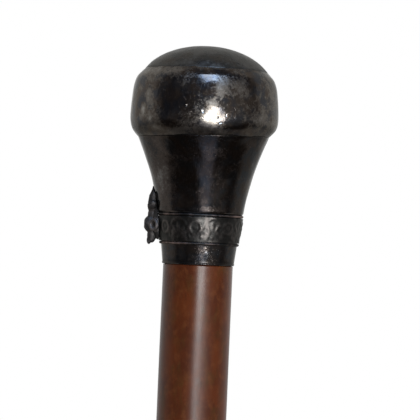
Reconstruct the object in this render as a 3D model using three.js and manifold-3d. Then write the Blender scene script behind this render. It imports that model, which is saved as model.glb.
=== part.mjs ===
// Walking stick with a tarnished silver-plated knob, a malacca shaft and a brass ferrule with a steel tip.
// Millimetres, +Z up. The stick stands upright and the origin is the middle of the tip's ground face.
// The front is -Y. Radii are measured from the stick's axis, and the knob's heights from the collar's foot.

import * as THREE from "three";
import { mergeVertices } from "three/addons/utils/BufferGeometryUtils.js";
import Module from "manifold-3d";

const wasm = await Module();
wasm.setup();

// Overall
const stick_length = 900;
const joint_gap = 0.1;
const cut_overrun = 2;

// Knob: crown, belly and neck, raised from sheet and soldered at two seams
const sheet_thickness = 0.6;
const crown_rise = 7.45;
const crown_seam_radius = 18.5;
const belly_length = 20.15;
const belly_radius = 22.3;
const neck_seam_radius = 19.7;
const flare_length = 22.55;
const waist_radius = 13.1;
const waist_height = 15.9;

// How full the crown is: its seam's radius as a share of the half width of its ellipse
const crown_fullness_share = 0.91;

// How full the belly and the flare are at their middle points, as shares of their length and radius
const shoulder_height_share = 0.818;
const shoulder_radius_share = 0.951;
const fullest_height_share = 0.414;
const rim_height_share = 0.155;
const rim_radius_share = 0.987;
const upper_flare_height_share = 0.687;
const upper_flare_radius_share = 0.583;
const lower_flare_height_share = 0.366;
const lower_flare_radius_share = 0.242;

// Band seat and plain collar, the neck sheet's lower end
const band_seat_depth = 0.5;
const band_seat_drop = 0.5;
const collar_foot_radius = 10.75;
const hem_height = 0.7;
const hem_proud = 0.15;

// Relief band and its two edge wires
const wire_height = 0.85;
const wire_thickness = 0.5;
const band_height = 7.5;
const band_thickness = 0.42;
const relief_depth = 0.32;
const rosettes_a_side = 3;
const rosette_first_turn = THREE.MathUtils.degToRad(36);
const rosette_rise = 0.5;
const rosette_ring_radius = 1.7;
const rosette_ring_width = 0.9;
const rosette_ring_height = 0.6;
const rosette_dish_height = 0.1;
const rosette_boss_radius = 0.8;
const rosette_boss_height = 0.55;
const palmette_lobe_width = 1.05;
const palmette_lobe_height = 0.45;
const palmette_lobe_spread = THREE.MathUtils.degToRad(27);
const palmette_lobe_start = 0.8;
const palmette_root_rise = 1.25;
const palmette_curl_radius = 0.6;
const palmette_curl_thickness = 0.5;
const palmette_curl_offset = 2;
const arch_half_width = 3.3;
const arch_margin = 0.45;
const arch_thickness = 0.55;

// Cast cartouche on the left of the band. Its middle lies a little above the band's, and its forms stand
// proud of the band's face there, and lie above or below it.
const cartouche_turn = THREE.MathUtils.degToRad(-90);
const cartouche_rise = 0.8;
const crest_leaf_length = 7.2;
const crest_leaf_width = 2.1;
const crest_leaf_thickness = 2.4;
const crest_leaf_spread = THREE.MathUtils.degToRad(27);
const crest_lean = THREE.MathUtils.degToRad(3);
const crest_proud = 2.9;
const crest_root_rise = 4.6;
const knot_radius = 1.5;
const knot_rise = 4.4;
const knot_proud = 3.7;
const boss_width = 4.4;
const boss_length = 6;
const boss_thickness = 5;
const boss_proud = 4.4;
const volute_radius = 1.5;
const volute_thickness = 1.15;
const volute_bead_radius = 0.62;
const volute_center_proud = 2;
const volute_turn = THREE.MathUtils.degToRad(12.7);
const volute_face_turn = THREE.MathUtils.degToRad(45);
const plate_width = 7;
const plate_length = 11.5;
const plate_proud = 1.7;
const plate_rise = 1.4;
const foot_leaf_width = 2.9;
const foot_leaf_length = 5;
const foot_leaf_proud = 3.15;
const foot_leaf_drop = 2.9;
const drop_radius = 0.75;
const drop_length = 3;
const drop_proud = 3.3;
const drop_drop = 4.8;

// Inside the knob: the hard filling that was poured round the shaft's spigot and its dowel
const filling_gap = 0.25;
const filling_foot_height = 4;
const spigot_length = 16;
const dowel_radius = 5;
const dowel_length = 58;
const dowel_chamfer = 1;
const dowel_end_room = 1.5;

// Shaft: as thick as at the collar for this length, and then tapering to the ferrule
const collar_proud = 0.22;
const even_shaft_length = 60;
const shaft_foot_radius = 7.3;

// Ferrule
const ferrule_length = 34;
const ferrule_wall = 0.7;
const ferrule_proud = 0.12;
const ferrule_foot_radius = 6.4;
const tip_thickness = 4;
const tip_round = 1.4;
const tip_plug_height = 5;
const pin_drop = 5;
const pin_radius = 0.45;
const pin_length = 4.2;
const pin_head_radius = 0.95;
const pin_head_height = 0.4;

// Faceting, as counts of steps
const round_steps = 36;
const hidden_round_steps = 18;
const wire_steps = 4;
const ornament_steps = 10;
const petal_steps = 6;
const rib_sides = 4;
const volute_sides = 6;
const volute_steps = 11;
const arch_steps = 9;
const curve_steps = 5;
const hidden_curve_steps = 3;
const pin_steps = 10;

// Places that follow from the sizes above
const neck_seam_height = waist_height + flare_length;
const crown_seam_height = neck_seam_height + belly_length;
const knob_height = crown_seam_height + crown_rise;
const collar_foot = stick_length - knob_height;
const seat_top_radius = waist_radius - band_seat_depth;
const seat_top_height = waist_height - band_seat_drop;
const upper_wire_top = seat_top_height - joint_gap;
const band_top = upper_wire_top - wire_height - joint_gap;
const band_bottom = band_top - band_height;
const band_middle = (band_top + band_bottom) / 2;
const cartouche_middle = band_middle + cartouche_rise;
const lower_wire_top = band_bottom - joint_gap;
const palmette_root_height = band_bottom + palmette_root_rise;
const arch_height = band_height - palmette_root_rise - arch_margin;
const spigot_radius = collar_foot_radius - sheet_thickness - joint_gap;
const shaft_top_radius = collar_foot_radius - collar_proud;
const ferrule_top = tip_thickness + ferrule_length;
const ferrule_top_radius = shaft_foot_radius + ferrule_proud;

const point = (radius, height) => new THREE.Vector2(radius, height);

// A smooth run of profile points through a few given ones.
function smooth(points, steps) {
  return new THREE.SplineCurve(points).getPoints(steps);
}

// The profile moved inwards, square to itself, with level ends. Profiles run from the top down.
function inset(profile, distance) {
  return profile.map((here, i) => {
    const before = profile[Math.max(0, i - 1)];
    const after = profile[Math.min(profile.length - 1, i + 1)];
    const along = after.clone().sub(before).normalize();
    if (here.x === 0) {
      return point(0, here.y - distance);
    }
    const is_end = before === here || after === here;
    return is_end
      ? point(here.x + distance / along.y, here.y)
      : point(here.x + distance * along.y, here.y - distance * along.x);
  });
}

// A solid of revolution about Z. The profile runs from the top down its outside and back up its inside.
function turned(profile, steps = round_steps) {
  const closes = profile[0].x > 0;
  const points = closes ? [...profile, profile[0]] : profile;
  return new THREE.LatheGeometry(points.toReversed(), steps).rotateX(Math.PI / 2);
}

// A sheet-metal shell of revolution. Its inside follows a plainer profile than its outside.
function shell(outside, plainer) {
  return turned([...outside, ...inset(plainer, sheet_thickness).reverse()]);
}

function solidOf(geometry) {
  const bare = geometry.clone();
  bare.deleteAttribute("normal");
  bare.deleteAttribute("uv");
  const merged = mergeVertices(bare);
  const mesh = new wasm.Mesh({
    numProp: 3,
    vertProperties: merged.attributes.position.array,
    triVerts: new Uint32Array(merged.index.array),
  });
  return new wasm.Manifold(mesh);
}

function geometryOf(solid) {
  const { vertProperties, triVerts } = solid.getMesh();
  const geometry = new THREE.BufferGeometry();
  geometry.setAttribute("position", new THREE.BufferAttribute(vertProperties, 3));
  geometry.setIndex(new THREE.BufferAttribute(triVerts, 1));
  geometry.computeVertexNormals();
  return geometry;
}

function joined(geometries) {
  return geometries.map(solidOf).reduce((whole, next) => whole.add(next));
}

// An ellipsoid round the origin, from its full width, thickness and length along X, Y and Z.
function pebble(width, thickness, length, steps = ornament_steps) {
  const unit = new THREE.SphereGeometry(1, steps, Math.round(steps / 2));
  return unit.rotateX(Math.PI / 2).scale(width / 2, thickness / 2, length / 2);
}

// Moves a form made round the origin out to this reach and height, and then turns it round the stick.
function standOut(geometry, turn, reach, height) {
  return geometry.translate(0, -reach, height).rotateZ(turn);
}

// Knob profiles, from the top down

function crownProfile(steps) {
  const half_width = crown_seam_radius / crown_fullness_share;
  const half_angle = Math.asin(crown_fullness_share);
  const half_height = crown_rise / (1 - Math.cos(half_angle));
  const arc = new THREE.EllipseCurve(
    0, knob_height - half_height, half_width, half_height, Math.PI / 2, Math.PI / 2 - half_angle, true,
  );
  const points = arc.getPoints(steps);
  points[0].x = 0;
  return points;
}

function bellyProfile(steps) {
  const at = (height_share) => neck_seam_height + belly_length * height_share;
  const through = [
    point(crown_seam_radius, crown_seam_height),
    point(belly_radius * shoulder_radius_share, at(shoulder_height_share)),
    point(belly_radius, at(fullest_height_share)),
    point(belly_radius * rim_radius_share, at(rim_height_share)),
    point(neck_seam_radius, neck_seam_height),
  ];
  return smooth(through, 2 * steps);
}

function flareProfile(steps) {
  const waist = point(waist_radius, waist_height);
  const widening = point(neck_seam_radius - waist_radius, flare_length);
  const part_way = (radius_share, height_share) => {
    return point(radius_share, height_share).multiply(widening).add(waist);
  };
  const through = [
    point(neck_seam_radius, neck_seam_height),
    part_way(upper_flare_radius_share, upper_flare_height_share),
    part_way(lower_flare_radius_share, lower_flare_height_share),
    waist,
  ];
  return smooth(through, steps);
}

// The cone under the band and down to the collar's foot.
function coneRadius(height) {
  return THREE.MathUtils.mapLinear(height, 0, seat_top_height, collar_foot_radius, seat_top_radius);
}

// The same profile, ending a joint gap above the sheet that it is soldered to.
function clearOfSeam(profile) {
  return profile.with(-1, point(profile.at(-1).x, profile.at(-1).y + joint_gap));
}

function knobCap() {
  return shell(clearOfSeam(crownProfile(curve_steps)), clearOfSeam(crownProfile(hidden_curve_steps)));
}

function knobBelly() {
  return shell(clearOfSeam(bellyProfile(curve_steps)), clearOfSeam(bellyProfile(hidden_curve_steps)));
}

function plainNeckProfile() {
  return [
    ...flareProfile(hidden_curve_steps),
    point(seat_top_radius, seat_top_height),
    point(collar_foot_radius, 0),
  ];
}

// The flare, the seat for the band and the plain collar are one sheet, with a small hem at its foot.
function knobNeck() {
  const hem = [
    point(seat_top_radius, seat_top_height),
    point(coneRadius(hem_height), hem_height),
    point(coneRadius(hem_height) + hem_proud, hem_height / 2),
    point(collar_foot_radius, 0),
  ];
  return shell([...flareProfile(curve_steps), ...hem], plainNeckProfile());
}

// Inside the knob

function knobFilling() {
  const sheets = [
    crownProfile(hidden_curve_steps),
    bellyProfile(hidden_curve_steps),
    plainNeckProfile(),
  ];
  const outside = sheets.flatMap((profile) => inset(profile, sheet_thickness + filling_gap)).slice(0, -1);
  const foot_radius = coneRadius(filling_foot_height) - sheet_thickness - filling_gap;
  const round_spigot = spigot_radius + joint_gap;
  const round_dowel = dowel_radius + joint_gap;
  const dowel_hole_top = spigot_length + dowel_length / 2 + dowel_end_room;
  return turned([
    ...outside,
    point(foot_radius, filling_foot_height),
    point(round_spigot, filling_foot_height),
    point(round_spigot, spigot_length),
    point(round_dowel, spigot_length),
    point(round_dowel, dowel_hole_top),
    point(0, dowel_hole_top),
  ]);
}

function knobDowel() {
  const top = spigot_length + dowel_length / 2;
  const bottom = top - dowel_length;
  const profile = [
    point(0, top),
    point(dowel_radius - dowel_chamfer, top),
    point(dowel_radius, top - dowel_chamfer),
    point(dowel_radius, bottom + dowel_chamfer),
    point(dowel_radius - dowel_chamfer, bottom),
    point(0, bottom),
  ];
  return turned(profile, hidden_round_steps);
}

// Band and its edge wires

// A half-round wire laid on the cone, with its top at this height.
function edgeWire(top) {
  const bottom = top - wire_height;
  const back_top = coneRadius(top) + joint_gap;
  const back_bottom = coneRadius(bottom) + joint_gap;
  const section = new THREE.EllipseCurve(
    0, (top + bottom) / 2, wire_thickness, wire_height / 2, Math.PI / 2, -Math.PI / 2, true,
  );
  const face = section.getPoints(wire_steps).map(({ x, y }) => point(x + coneRadius(y) + joint_gap, y));
  return turned([...face.slice(1, -1), point(back_bottom, bottom), point(back_top, top)]);
}

function bandFaceRadius(height) {
  return coneRadius(height) + joint_gap + band_thickness;
}

const band_lean = Math.atan2(coneRadius(band_top) - coneRadius(band_bottom), band_height);

// Sets a form, made round the origin and facing -Y, on the band's face: sideways is an arc along the band.
function onBand(geometry, turn, sideways, height) {
  const radius = bandFaceRadius(height);
  return standOut(geometry.rotateX(band_lean), turn + sideways / radius, radius, height);
}

function rosette(turn) {
  const inner_edge = rosette_ring_radius - rosette_ring_width / 2;
  const outer_edge = rosette_ring_radius + rosette_ring_width / 2;
  const profile = [
    point(0, rosette_boss_height),
    point(rosette_boss_radius / 2, rosette_boss_height),
    point(rosette_boss_radius, rosette_dish_height),
    point(inner_edge, rosette_dish_height),
    point(rosette_ring_radius, rosette_ring_height),
    point(outer_edge, 0),
    point(outer_edge, -relief_depth),
    point(0, -relief_depth),
  ];
  const disc = turned(profile, ornament_steps);
  return onBand(disc.rotateX(Math.PI / 2), turn, 0, band_middle + rosette_rise);
}

// A fan of five lobes over two small curls, under an arch.
function palmette(turn) {
  const lobe_length_shares = [0.49, 0.66, 0.72, 0.66, 0.49];
  const middle_lobe = (lobe_length_shares.length - 1) / 2;
  const lobes = lobe_length_shares.map((share, i) => {
    const length = arch_height * share;
    const angle = (i - middle_lobe) * palmette_lobe_spread;
    const lobe = pebble(palmette_lobe_width, palmette_lobe_height + relief_depth, length, petal_steps);
    const along = palmette_lobe_start + length / 2;
    const lift = (palmette_lobe_height - relief_depth) / 2;
    lobe.rotateY(angle).translate(0, -lift, 0);
    return onBand(lobe, turn, along * Math.sin(angle), palmette_root_height + along * Math.cos(angle));
  });
  const curls = [-palmette_curl_offset, palmette_curl_offset].map((sideways) => {
    const tube = palmette_curl_thickness / 2;
    const curl = new THREE.TorusGeometry(palmette_curl_radius, tube, rib_sides, petal_steps);
    return onBand(curl.rotateX(Math.PI / 2), turn, sideways, palmette_root_height);
  });
  return [...lobes, ...curls, arch(turn)];
}

// A round rib that springs from the foot of the band, over the palmette.
function arch(turn) {
  const places = new THREE.EllipseCurve(0, 0, arch_half_width, arch_height, Math.PI, 0, true);
  const route = places.getPoints(arch_steps).map(({ x, y }) => {
    const height = palmette_root_height + y;
    const radius = bandFaceRadius(height);
    const angle = turn + x / radius;
    return new THREE.Vector3(radius * Math.sin(angle), -radius * Math.cos(angle), height);
  });
  const section = new THREE.Shape().absarc(0, 0, arch_thickness / 2, 0, 2 * Math.PI);
  return new THREE.ExtrudeGeometry(section, {
    curveSegments: rib_sides / 2,
    steps: arch_steps,
    extrudePath: new THREE.CatmullRomCurve3(route),
  });
}

// Rosettes lie in mirror order on both sides of the cartouche, with a palmette after each.
function collarBand() {
  const strip = turned([
    point(bandFaceRadius(band_top), band_top),
    point(bandFaceRadius(band_bottom), band_bottom),
    point(coneRadius(band_bottom) + joint_gap, band_bottom),
    point(coneRadius(band_top) + joint_gap, band_top),
  ]);
  const pitch_turn = (Math.PI - rosette_first_turn) / rosettes_a_side;
  const forms = Array.from({ length: rosettes_a_side }, (_, i) => {
    const turn = rosette_first_turn + i * pitch_turn;
    const next = turn + pitch_turn / 2;
    return [-1, 1].flatMap((side) => [
      rosette(cartouche_turn + side * turn),
      ...palmette(cartouche_turn + side * next),
    ]);
  });
  return geometryOf(joined([strip, ...forms.flat(), rosette(cartouche_turn + Math.PI)]));
}

// Cartouche

// What the cartouche lies on, grown by the joint gap: the flare, the wires and the band's face.
function cartoucheSeat() {
  const flare = inset(flareProfile(hidden_curve_steps), -joint_gap);
  const edge = wire_thickness + 2 * joint_gap;
  const wire_tops = [upper_wire_top, lower_wire_top];
  const wires = wire_tops.flatMap((top) => [
    point(coneRadius(top) + edge, top + joint_gap),
    point(coneRadius(top - wire_height) + edge, top - wire_height - joint_gap),
  ]);
  const face = [band_top, band_bottom].map((height) => point(bandFaceRadius(height) + joint_gap, height));
  const outline = [
    point(0, neck_seam_height),
    ...flare,
    ...wires.slice(0, 2),
    ...face,
    ...wires.slice(2),
    point(coneRadius(0) + hem_proud + joint_gap, 0),
    point(0, 0),
  ];
  return turned(outline);
}

// Places a form of this thickness so that it stands this proud of the band, this far above the middle.
function onCartouche(geometry, thickness, proud, rise) {
  const reach = bandFaceRadius(cartouche_middle) + proud - thickness / 2;
  return standOut(geometry, 0, reach, cartouche_middle + rise);
}

function crestLeaves() {
  const leaf_length_shares = [0.6, 0.85, 1, 0.85, 0.6];
  const middle_leaf = (leaf_length_shares.length - 1) / 2;
  return leaf_length_shares.map((share, i) => {
    const length = crest_leaf_length * share;
    const leaf = pebble(crest_leaf_width, crest_leaf_thickness, length).translate(0, 0, length / 2);
    leaf.rotateY((i - middle_leaf) * crest_leaf_spread).rotateX(crest_lean);
    return onCartouche(leaf, crest_leaf_thickness, crest_proud, crest_root_rise);
  });
}

function voluteForms() {
  const reach = bandFaceRadius(cartouche_middle) + volute_center_proud;
  return [-1, 1].flatMap((side) => {
    const tube = volute_thickness / 2;
    const ring = new THREE.TorusGeometry(volute_radius, tube, volute_sides, volute_steps);
    ring.rotateX(Math.PI / 2);
    const bead = pebble(2 * volute_bead_radius, 2 * volute_bead_radius, 2 * volute_bead_radius);
    const web_width = 2 * volute_radius;
    const web = pebble(web_width, volute_thickness / 2, web_width);
    return [ring, bead, web].map((form) => {
      form.rotateZ(side * (volute_face_turn - volute_turn));
      return standOut(form, side * volute_turn, reach, cartouche_middle);
    });
  });
}

// Made facing the front, and turned to its place by its mesh.
function cartouche() {
  const knot = pebble(2 * knot_radius, 2 * knot_radius, 2 * knot_radius);
  const boss = pebble(boss_width, boss_thickness, boss_length);
  const plate_thickness = 2 * plate_proud + band_thickness;
  const plate = pebble(plate_width, plate_thickness, plate_length);
  const foot_leaf = pebble(foot_leaf_width, foot_leaf_width, foot_leaf_length);
  const drop = pebble(2 * drop_radius, 2 * drop_radius, drop_length);
  const forms = joined([
    ...crestLeaves(),
    ...voluteForms(),
    onCartouche(knot, 2 * knot_radius, knot_proud, knot_rise),
    onCartouche(boss, boss_thickness, boss_proud, 0),
    onCartouche(plate, plate_thickness, plate_proud, plate_rise),
    onCartouche(foot_leaf, foot_leaf_width, foot_leaf_proud, -foot_leaf_drop),
    onCartouche(drop, 2 * drop_radius, drop_proud, -drop_drop),
  ]);
  return geometryOf(forms.subtract(solidOf(cartoucheSeat())));
}

// Ferrule and shaft, with heights from the ground

function ferruleRadius(height) {
  return THREE.MathUtils.mapLinear(
    height, tip_thickness, ferrule_top, ferrule_foot_radius, ferrule_top_radius,
  );
}

const ferruleBoreRadius = (height) => ferruleRadius(height) - ferrule_wall;
const pin_height = ferrule_top - pin_drop;
const pin_seat = ferruleRadius(pin_height) + joint_gap;

// A nail along Y, with its head at the front.
function ferrulePin() {
  const nail = turned(
    [
      point(0, pin_head_height),
      point(pin_head_radius / 2, pin_head_height),
      point(pin_head_radius, 0),
      point(pin_radius, 0),
      point(pin_radius, -pin_length + pin_radius),
      point(0, -pin_length),
    ],
    pin_steps,
  );
  return nail.rotateX(Math.PI / 2).translate(0, -pin_seat, pin_height);
}

// What the two nails pass through, grown by the joint gap.
function pinHoles() {
  const hole_radius = pin_radius + joint_gap;
  const inner_end = -pin_length - joint_gap;
  return [0, Math.PI].map((turn) => {
    const hole = turned(
      [
        point(0, cut_overrun),
        point(hole_radius, cut_overrun),
        point(hole_radius, inner_end),
        point(0, inner_end),
      ],
      pin_steps,
    );
    return hole.rotateX(Math.PI / 2).translate(0, -pin_seat, pin_height).rotateZ(turn);
  });
}

function drilled(geometry) {
  return geometryOf(pinHoles().reduce((left, hole) => left.subtract(solidOf(hole)), solidOf(geometry)));
}

function ferruleSleeve() {
  return drilled(
    turned([
      point(ferruleRadius(ferrule_top), ferrule_top),
      point(ferruleRadius(tip_thickness), tip_thickness),
      point(ferruleBoreRadius(tip_thickness), tip_thickness),
      point(ferruleBoreRadius(ferrule_top), ferrule_top),
    ]),
  );
}

// A disc worn round at its edge, with a plug that stands inside the sleeve.
function ferruleTip() {
  const disc_top = tip_thickness - joint_gap;
  const plug_top = tip_thickness + tip_plug_height;
  const worn = new THREE.EllipseCurve(
    ferrule_foot_radius - tip_round, tip_round, tip_round, tip_round, 0, -Math.PI / 2, true,
  );
  return turned([
    point(0, plug_top),
    point(ferruleBoreRadius(plug_top) - joint_gap, plug_top),
    point(ferruleBoreRadius(disc_top) - joint_gap, disc_top),
    point(ferrule_foot_radius, disc_top),
    ...worn.getPoints(hidden_curve_steps),
    point(0, 0),
  ]);
}

function shaft() {
  const shoulder = collar_foot - joint_gap;
  const spigot_top = collar_foot + spigot_length - joint_gap;
  const bore_radius = dowel_radius + joint_gap;
  const bore_bottom = collar_foot + spigot_length - dowel_length / 2 - dowel_end_room;
  const sleeve_shoulder = ferrule_top + joint_gap;
  const foot = tip_thickness + tip_plug_height + joint_gap;
  return drilled(
    turned([
      point(0, bore_bottom),
      point(bore_radius, bore_bottom),
      point(bore_radius, spigot_top),
      point(spigot_radius, spigot_top),
      point(spigot_radius, shoulder),
      point(shaft_top_radius, shoulder),
      point(shaft_top_radius, shoulder - even_shaft_length),
      point(shaft_foot_radius, sleeve_shoulder),
      point(ferruleBoreRadius(sleeve_shoulder) - joint_gap, sleeve_shoulder),
      point(ferruleBoreRadius(foot) - joint_gap, foot),
      point(0, foot),
    ]),
  );
}

// Materials

const silver = new THREE.MeshStandardMaterial({ color: 0x2b2926, roughness: 0.32, metalness: 0.85 });
const worn_silver = new THREE.MeshStandardMaterial({ color: 0x3a3632, roughness: 0.42, metalness: 0.85 });
const malacca = new THREE.MeshStandardMaterial({ color: 0x5b2f17, roughness: 0.35, metalness: 0 });
const pitch = new THREE.MeshStandardMaterial({ color: 0x1a1412, roughness: 0.6, metalness: 0 });
const plain_wood = new THREE.MeshStandardMaterial({ color: 0xa67c4e, roughness: 0.7, metalness: 0 });
const brass = new THREE.MeshStandardMaterial({ color: 0x8a6a34, roughness: 0.4, metalness: 0.9 });
const steel = new THREE.MeshStandardMaterial({ color: 0x4a4743, roughness: 0.5, metalness: 0.9 });

function named(name, geometry, material) {
  const mesh = new THREE.Mesh(geometry, material);
  mesh.name = name;
  return mesh;
}

const knob = new THREE.Group();
knob.position.z = collar_foot;
knob.add(
  named("knob_cap", knobCap(), silver),
  named("knob_belly", knobBelly(), silver),
  named("knob_neck", knobNeck(), silver),
  named("upper_edge_wire", edgeWire(upper_wire_top), worn_silver),
  named("collar_band", collarBand(), worn_silver),
  named("lower_edge_wire", edgeWire(lower_wire_top), worn_silver),
  named("knob_filling", knobFilling(), pitch),
  named("knob_dowel", knobDowel(), plain_wood),
);

const ornament = named("cartouche", cartouche(), worn_silver);
ornament.rotation.z = cartouche_turn;
knob.add(ornament);

const ferrule = new THREE.Group();
ferrule.add(
  named("ferrule_sleeve", ferruleSleeve(), brass),
  named("ferrule_tip", ferruleTip(), steel),
);
["front", "back"].forEach((side, i) => {
  const pin = named(`ferrule_pin_${side}`, ferrulePin(), brass);
  pin.rotation.z = i * Math.PI;
  ferrule.add(pin);
});

const stick = new THREE.Group();
stick.add(knob, named("shaft", shaft(), malacca), ferrule);

export default stick;
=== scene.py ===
# Looks of the walking stick: a tarnished silver knob with an ornamented collar, a varnished malacca shaft
# and a brass ferrule. Lengths are millimetres until a mesh is made, and the frame is the CAD part's own.

import math

import bmesh
import bpy
import numpy as np
from mathutils import Matrix, Vector, noise


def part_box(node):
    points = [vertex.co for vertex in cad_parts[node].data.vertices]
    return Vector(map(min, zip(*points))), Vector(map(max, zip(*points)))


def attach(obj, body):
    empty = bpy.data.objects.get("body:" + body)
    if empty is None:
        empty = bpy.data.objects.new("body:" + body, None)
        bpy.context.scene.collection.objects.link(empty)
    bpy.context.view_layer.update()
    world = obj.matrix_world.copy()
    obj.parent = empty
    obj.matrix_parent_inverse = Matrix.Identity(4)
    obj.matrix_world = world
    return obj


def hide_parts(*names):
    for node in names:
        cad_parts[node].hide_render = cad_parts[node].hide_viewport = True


MM = 0.001

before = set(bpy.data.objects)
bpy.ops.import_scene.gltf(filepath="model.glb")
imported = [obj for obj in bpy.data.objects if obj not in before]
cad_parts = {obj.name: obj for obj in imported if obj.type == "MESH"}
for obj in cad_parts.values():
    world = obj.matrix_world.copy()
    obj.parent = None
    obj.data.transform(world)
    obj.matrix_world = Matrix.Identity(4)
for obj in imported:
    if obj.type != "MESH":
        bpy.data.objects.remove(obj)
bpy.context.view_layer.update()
scene = bpy.context.scene


def linked(name, data):
    """A new object in the scene that has this data."""
    made = bpy.data.objects.new(name, data)
    scene.collection.objects.link(made)
    return made


# Camera

CAMERA_DISTANCE = 800
CAMERA_HEIGHT = 842
AIM_RIGHT = 2.9
AIM_HEIGHT = 850.6
CAMERA_ROLL = math.radians(2.5)
VIEW_WIDTH = 126.8
SENSOR_WIDTH = 36


def add_camera():
    data = bpy.data.cameras.new("camera")
    data.sensor_width = SENSOR_WIDTH
    data.lens = SENSOR_WIDTH * CAMERA_DISTANCE / VIEW_WIDTH
    data.clip_start = 0.01
    data.clip_end = 50
    camera = linked("camera", data)
    place = Vector((0, -CAMERA_DISTANCE, CAMERA_HEIGHT)) * MM
    aim = Vector((AIM_RIGHT, 0, AIM_HEIGHT)) * MM
    facing = (place - aim).to_track_quat("Z", "Y").to_matrix().to_4x4()
    camera.matrix_world = Matrix.Translation(place) @ facing @ Matrix.Rotation(CAMERA_ROLL, 4, "Z")
    scene.camera = camera


# Node graphs


class Graph:
    """A short way to write a node tree: an input is a number, a colour, or another node's output."""

    def __init__(self, owner):
        owner.use_nodes = True
        self.owner = owner
        self.tree = owner.node_tree
        self.tree.nodes.clear()

    def node(self, kind, inputs=None, **settings):
        """A new node. A colour among its inputs is three numbers."""
        made = self.tree.nodes.new("ShaderNode" + kind)
        for name, value in settings.items():
            setattr(made, name, value)
        for name, value in (inputs or {}).items():
            socket = made.inputs[name]
            if isinstance(value, bpy.types.NodeSocket):
                self.tree.links.new(value, socket)
            else:
                socket.default_value = (*value, 1) if socket.type == "RGBA" else value
        return made

    def math(self, operation, *values):
        return self.node("Math", dict(enumerate(values)), operation=operation).outputs[0]

    def vector(self, operation, *values, **named):
        inputs = {**dict(enumerate(values)), **named}
        return self.node("VectorMath", inputs, operation=operation).outputs

    def times(self, first, second):
        return self.math("MULTIPLY", first, second)

    def total(self, *weighted):
        """The sum of value times weight over the pairs."""
        whole, *terms = [self.times(value, weight) for value, weight in weighted]
        for term in terms:
            whole = self.math("ADD", whole, term)
        return whole

    def step(self, value, low, high, start=0.0, end=1.0):
        """A smooth step from start to end as the value goes from low to high."""
        inputs = {0: value, 1: low, 2: high, 3: start, 4: end}
        return self.node("MapRange", inputs, interpolation_type="SMOOTHSTEP").outputs[0]

    def mix(self, share, first, second):
        return self.node("Mix", {0: share, 6: first, 7: second}, data_type="RGBA").outputs[2]

    def millimetres(self, stretch=(1, 1, 1), offset=(0, 0, 0)):
        place = self.node("TexCoord").outputs["Object"]
        inputs = {"Vector": place, "Location": offset, "Scale": [s / MM for s in stretch]}
        return self.node("Mapping", inputs).outputs[0]

    def noise(self, size, detail=3, roughness=0.55, distortion=0, place=None, **mapping):
        """Noise whose lumps are about this many millimetres across. The mapping is its stretch and offset."""
        inputs = {
            "Vector": self.millimetres(**mapping) if place is None else place,
            "Scale": 1 / size,
            "Detail": detail,
            "Roughness": roughness,
            "Distortion": distortion,
        }
        return self.node("TexNoise", inputs).outputs[0]

    def dot(self, first, second):
        return self.vector("DOT_PRODUCT", first, second)["Value"]

    def near_line(self, place, start, end, reach):
        """1 on a line, and 0 from this reach on. Its ends are azimuths, radii and heights."""
        start, end = at_azimuth(*start), at_azimuth(*end)
        along = end - start
        offset = self.vector("SUBTRACT", place, start)[0]
        run = self.node("Clamp", {0: self.dot(offset, along / along.length_squared)}).outputs[0]
        foot = self.vector("SCALE", along, Scale=run)[0]
        return self.step(self.vector("DISTANCE", offset, foot)["Value"], reach, 0.0)

    def attribute(self, name):
        return self.node("Attribute", attribute_name=name).outputs["Fac"]

    def bump(self, height, distance, strength, normal=(0, 0, 0)):
        """The given normal, bumped. If none is given, it is the surface's own."""
        inputs = {"Height": height, "Distance": distance * MM, "Strength": strength, "Normal": normal}
        return self.node("Bump", inputs).outputs[0]

    def ray_kinds(self):
        """1 for a ray from the camera, and 1 for a ray that a shiny or clear surface sent on."""
        path = self.node("LightPath").outputs
        return path["Is Camera Ray"], self.math("MAXIMUM", path["Is Glossy Ray"], path["Is Transmission Ray"])

    def principled(self, color, roughness, normal, constants):
        """A shader whose constants are the sockets that are the same all over the surface."""
        inputs = {"Base Color": color, "Roughness": roughness, "Normal": normal, **constants}
        return self.node("BsdfPrincipled", inputs).outputs[0]

    def surface(self, shader):
        """Ends a material's graph with this shader, and returns the material."""
        self.node("OutputMaterial", {"Surface": shader})
        return self.owner


def new_material(name):
    return Graph(bpy.data.materials.new(name))


# Stage: white surroundings, a dim room with a pale wall in front, a pale floor and soft lamps

ROOM_TURN = math.radians(6)
FLOOR_RADIUS = 600
KNOB_MIDDLE = Vector((0, 0, 0.86))


def at_azimuth(azimuth, radius, height):
    """A place round the stick. Azimuth 0 is the front, and 90 is the right."""
    turn = math.radians(azimuth)
    return Vector((radius * math.sin(turn), -radius * math.cos(turn), height))


def toward(azimuth, elevation):
    """A direction."""
    up = math.radians(elevation)
    return at_azimuth(azimuth, math.cos(up), math.sin(up))


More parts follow.
